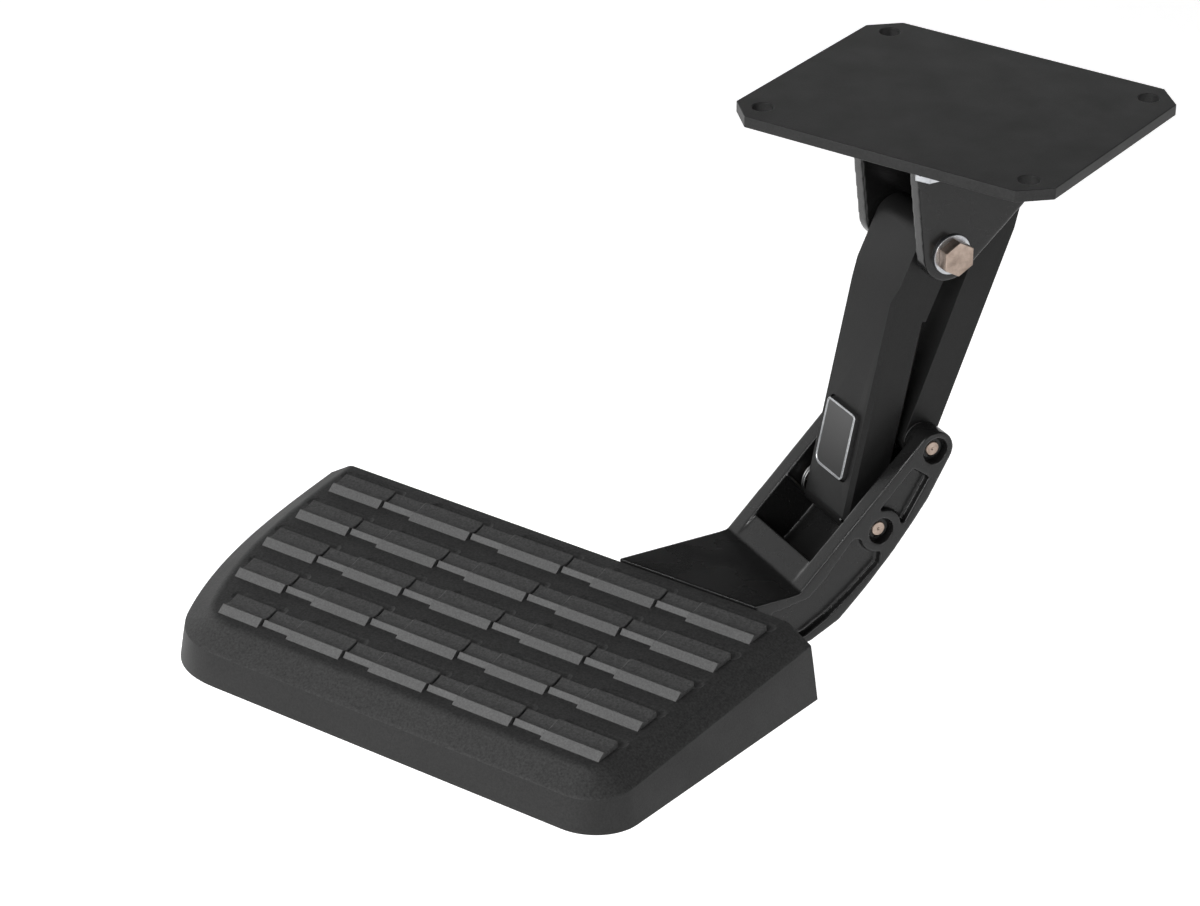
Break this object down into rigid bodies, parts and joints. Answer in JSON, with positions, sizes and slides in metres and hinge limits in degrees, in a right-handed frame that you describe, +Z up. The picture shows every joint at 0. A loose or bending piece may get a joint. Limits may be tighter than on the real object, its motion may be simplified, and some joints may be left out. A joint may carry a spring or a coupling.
{
  "type": "tailgate step",
  "caption": "Swing-down tailgate step: grooved tread pad on a two-link folding arm that hangs from a frame bracket.",
  "frame": {"origin": "centre of the four frame bolt holes, on the top face of the mount plate", "axes": "+Z up, out of the mount plate's top face towards the truck frame; +Y forward, towards the truck; +X along the tailgate, away from the pad's long end"},
  "size_m": [0.3937, 0.3913, 0.2741],
  "materials": {
    "steel_black": "black powder-coated steel plate",
    "cast_black": "black powder-coated cast aluminium, satin, fine grain",
    "extrusion_black": "black powder-coated extruded aluminium, satin",
    "zinc_yellow": "yellow zinc-plated steel",
    "zinc_steel": "clear zinc-plated steel",
    "spring_steel": "oiled dark spring steel",
    "polymer": "black bearing polymer",
    "rubber": "matte black rubber",
    "badge": "dark glossy blank badge with a bright bevelled edge",
    "pad_plastic": "grained black glass-filled nylon"
  },
  "bodies": {
    "hanger": {"mount_plate": "steel_black", "hanger": "cast_black", "hanger_bolts": "zinc_steel", "upper_main_pin": "zinc_yellow", "upper_rear_pin": "zinc_yellow", "upper_pin_nuts": "zinc_steel", "upper_pin_washers": "zinc_steel", "cheek_thrust_washers": "polymer", "stow_stop": "rubber"},
    "main_link": {"main_link": "extrusion_black", "badge_plate": "badge", "badge_backing": "rubber", "upper_main_bushings": "polymer", "lower_main_bushings": "polymer", "deploy_stop": "rubber"},
    "step": {"yoke": "cast_black", "lower_main_pin": "zinc_yellow", "lower_rear_pin": "zinc_yellow", "pin_retaining_rings": "steel_black", "torsion_spring_left": "spring_steel", "torsion_spring_right": "spring_steel", "rear_thrust_washers": "polymer", "pad_support_plate": "steel_black", "tongue_bolts": "zinc_steel", "tongue_nuts": "zinc_steel", "pad_screws": "zinc_steel", "tread_pad": "pad_plastic"},
    "rear_link": {"rear_link": "extrusion_black", "lower_rear_bushings": "polymer"}
  },
  "joints": [
    {"name": "main_hinge", "type": "hinge", "parent": "hanger", "child": "main_link", "pos_m": [-0.00894, -0.01794, -0.06498], "axis": [0.8949, -0.4462, 0], "range_deg": [0, 75], "stiffness_Nm_per_rad": 1.6, "springref_deg": -40.11},
    {"name": "step_hinge", "type": "hinge", "parent": "main_link", "child": "step", "pos_m": [-0.0257, -0.05155, -0.2102], "axis": [0.8949, -0.4462, 0], "range_deg": [-87.5, 0], "deforming": ["torsion_spring_left", "torsion_spring_right"]},
    {"name": "rear_hinge", "type": "hinge", "parent": "step", "child": "rear_link", "pos_m": [-0.01205, -0.02416, -0.1717], "axis": [0.8949, -0.4462, 0], "range_deg": [0, 90.1]}
  ],
  "couplings": [
    {"joint": "step_hinge", "follows": "main_hinge", "ratio": -1.165},
    {"joint": "rear_hinge", "follows": "main_hinge", "ratio": 1.2}
  ]
}
